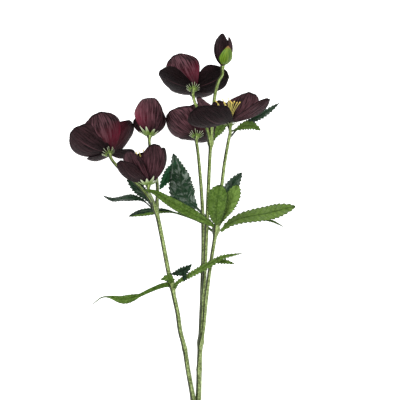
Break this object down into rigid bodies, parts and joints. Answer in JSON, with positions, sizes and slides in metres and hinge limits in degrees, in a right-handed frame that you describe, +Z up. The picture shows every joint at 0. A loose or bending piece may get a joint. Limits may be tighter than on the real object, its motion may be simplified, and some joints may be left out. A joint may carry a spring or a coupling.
{
  "type": "hellebore flower spray",
  "caption": "Cut spray of dark burgundy hellebore lying on its side, with open cup blooms, a closed bud, branching green stems and toothed leaves.",
  "frame": {"origin": "middle of the spray's outline on the surface that it lies on", "axes": "+Y along the spray, from its cut end to its bud; +X to the right of it, seen from above; +Z up"},
  "size_m": [0.2268, 0.3835, 0.123],
  "materials": {
    "petal": "matte",
    "stamen": "matte",
    "stem": "satin",
    "leaf_light": "satin",
    "leaf_dark": "satin",
    "bud_sepal": "satin"
  },
  "bodies": {
    "root": {"bloom_1_petals": "petal", "bloom_1_stamens": "stamen", "bloom_2_petals": "petal", "bloom_2_stamens": "stamen", "bloom_3_petals": "petal", "bloom_3_stamens": "stamen", "bloom_4_petals": "petal", "bloom_4_stamens": "stamen", "bloom_5_petals": "petal", "bloom_5_stamens": "stamen", "bloom_6_petals": "petal", "bloom_6_stamens": "stamen", "bract_far_right": "leaf_dark", "bract_left": "leaf_light", "bract_right": "leaf_light", "bud_petals": "petal", "bud_sepal": "bud_sepal", "leaf_lower_left": "leaf_light", "leaf_lower_right": "leaf_light", "leaf_lower_small_dark": "leaf_dark", "leaf_lower_small_light": "leaf_light", "leaf_upper_far_left": "leaf_dark", "leaf_upper_left": "leaf_dark", "leaf_whorl_dark": "leaf_dark", "leaf_whorl_far_left": "leaf_dark", "leaf_whorl_left": "leaf_light", "leaf_whorl_right": "leaf_light", "leaf_whorl_up": "leaf_light", "leaf_whorl_up_dark": "leaf_dark", "leaf_whorl_up_right": "leaf_light", "stem_system": "stem"}
  },
  "joints": []
}
